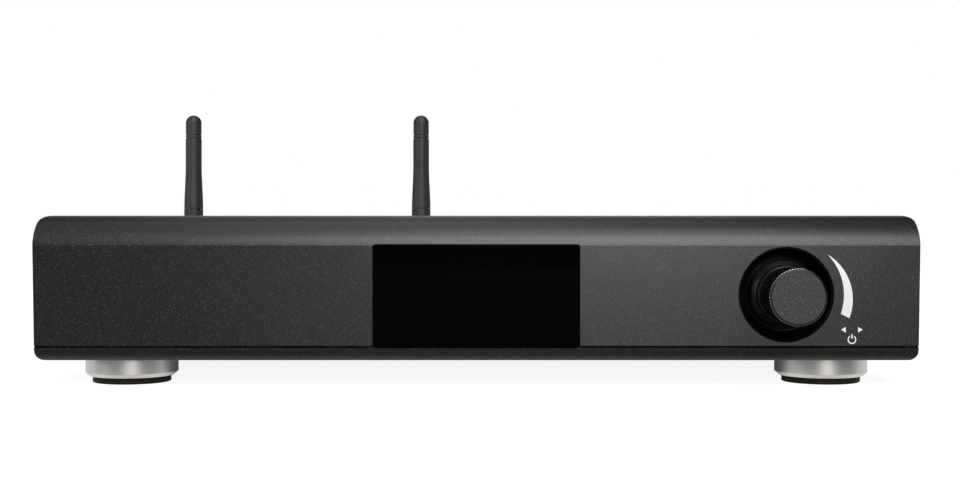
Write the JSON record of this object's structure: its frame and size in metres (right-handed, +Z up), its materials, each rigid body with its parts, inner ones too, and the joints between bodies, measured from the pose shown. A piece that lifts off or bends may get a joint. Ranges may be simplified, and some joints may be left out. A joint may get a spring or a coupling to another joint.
{
  "type": "network music streamer",
  "caption": "Wide low black hi-fi streamer with a central display, a push-and-turn knob in a dished well, metal feet and folding rear aerials.",
  "frame": {"origin": "on the shelf under the rubber pads, at the middle of the width and halfway from the knob's face to the aerials", "axes": "+X to the right as seen from the front, +Y to the rear, +Z up"},
  "size_m": [0.43, 0.3136, 0.1537],
  "materials": {
    "black_anodised": "bead blasted, black anodised",
    "black_anodised_turned": "turned and knurled, black anodised",
    "black_sheet": "fine powder coat",
    "black_screw_steel": "black oxide",
    "turned_steel": "fine turned",
    "display_glass": "polished black",
    "gloss_black": "polished",
    "rubber": "matte",
    "aerial_plastic": "satin moulding",
    "gold_plated": "plated",
    "brass_plated": "plated",
    "tin_shield": "tinned",
    "socket_plastic": "moulded",
    "rocker_plastic": "moulded",
    "inner_plastic": "moulded",
    "chip_plastic": "moulded",
    "circuit_board": "solder mask",
    "winding_tape": "taped",
    "ribbon_film": "film",
    "lead_sheath": "sheath"
  },
  "bodies": {
    "case": {"aerial_leads": "lead_sheath", "aerial_left_nuts": "gold_plated", "aerial_left_socket": "gold_plated", "aerial_right_nuts": "gold_plated", "aerial_right_socket": "gold_plated", "base_pan": "black_sheet", "board_screws": "turned_steel", "case_screws": "black_screw_steel", "digital_out_block": "socket_plastic", "display_board": "circuit_board", "display_lens": "display_glass", "display_module": "turned_steel", "display_ribbon": "ribbon_film", "display_screws": "black_screw_steel", "encoder_board": "circuit_board", "encoder_body": "inner_plastic", "encoder_nut": "turned_steel", "ethernet_socket": "tin_shield", "filter_capacitors": "chip_plastic", "foot_bolts": "turned_steel", "foot_front_left": "turned_steel", "foot_front_right": "turned_steel", "foot_pad_front_left": "rubber", "foot_pad_front_right": "rubber", "foot_pad_rear_left": "rubber", "foot_pad_rear_right": "rubber", "foot_rear_left": "turned_steel", "foot_rear_right": "turned_steel", "front_panel": "black_anodised", "heat_sink": "black_anodised", "knob_well": "gloss_black", "line_out_block": "socket_plastic", "main_board": "circuit_board", "main_board_chips": "chip_plastic", "mains_inlet": "socket_plastic", "mains_pins": "brass_plated", "network_module": "tin_shield", "optical_socket": "socket_plastic", "power_board": "circuit_board", "rca_shells": "gold_plated", "rear_panel": "black_sheet", "rocker_housing": "socket_plastic", "standoffs": "brass_plated", "top_cover": "black_anodised", "transformer": "winding_tape", "transformer_clamp": "turned_steel", "transformer_pad": "rubber", "usb_socket": "tin_shield"},
    "knob_plunger": {"encoder_plunger": "inner_plastic"},
    "knob": {"encoder_shaft": "turned_steel", "knob": "black_anodised_turned", "knob_grub_screw": "black_screw_steel"},
    "power_rocker": {"power_rocker": "rocker_plastic"},
    "aerial_left_elbow": {"aerial_left_elbow": "aerial_plastic", "aerial_left_pin": "aerial_plastic"},
    "aerial_left_whip": {"aerial_left_whip": "aerial_plastic"},
    "aerial_right_elbow": {"aerial_right_elbow": "aerial_plastic", "aerial_right_pin": "aerial_plastic"},
    "aerial_right_whip": {"aerial_right_whip": "aerial_plastic"}
  },
  "joints": [
    {"name": "knob_push", "type": "slide", "parent": "case", "child": "knob_plunger", "axis": [0, 1, 0], "range_m": [0, 0.001], "stiffness_N_per_m": 3000},
    {"name": "knob_turn", "type": "hinge", "parent": "knob_plunger", "child": "knob", "pos_m": [0.15, -0.12952, 0.0452], "axis": [0, 1, 0], "continuous": true},
    {"name": "power_rocker_tip", "type": "hinge", "parent": "case", "child": "power_rocker", "pos_m": [0.148, 0.12548, 0.045], "axis": [-1, 0, 0], "range_deg": [0, 16]},
    {"name": "aerial_left_swivel", "type": "hinge", "parent": "case", "child": "aerial_left_elbow", "pos_m": [-0.1914, 0.15048, 0.068], "axis": [0, 1, 0], "range_deg": [-90, 55]},
    {"name": "aerial_left_fold", "type": "hinge", "parent": "aerial_left_elbow", "child": "aerial_left_whip", "pos_m": [-0.1914, 0.15048, 0.084], "axis": [-1, 0, 0], "range_deg": [0, 90]},
    {"name": "aerial_right_swivel", "type": "hinge", "parent": "case", "child": "aerial_right_elbow", "pos_m": [-0.0374, 0.15048, 0.068], "axis": [0, 1, 0], "range_deg": [-55, 90]},
    {"name": "aerial_right_fold", "type": "hinge", "parent": "aerial_right_elbow", "child": "aerial_right_whip", "pos_m": [-0.0374, 0.15048, 0.084], "axis": [-1, 0, 0], "range_deg": [0, 90]}
  ]
}
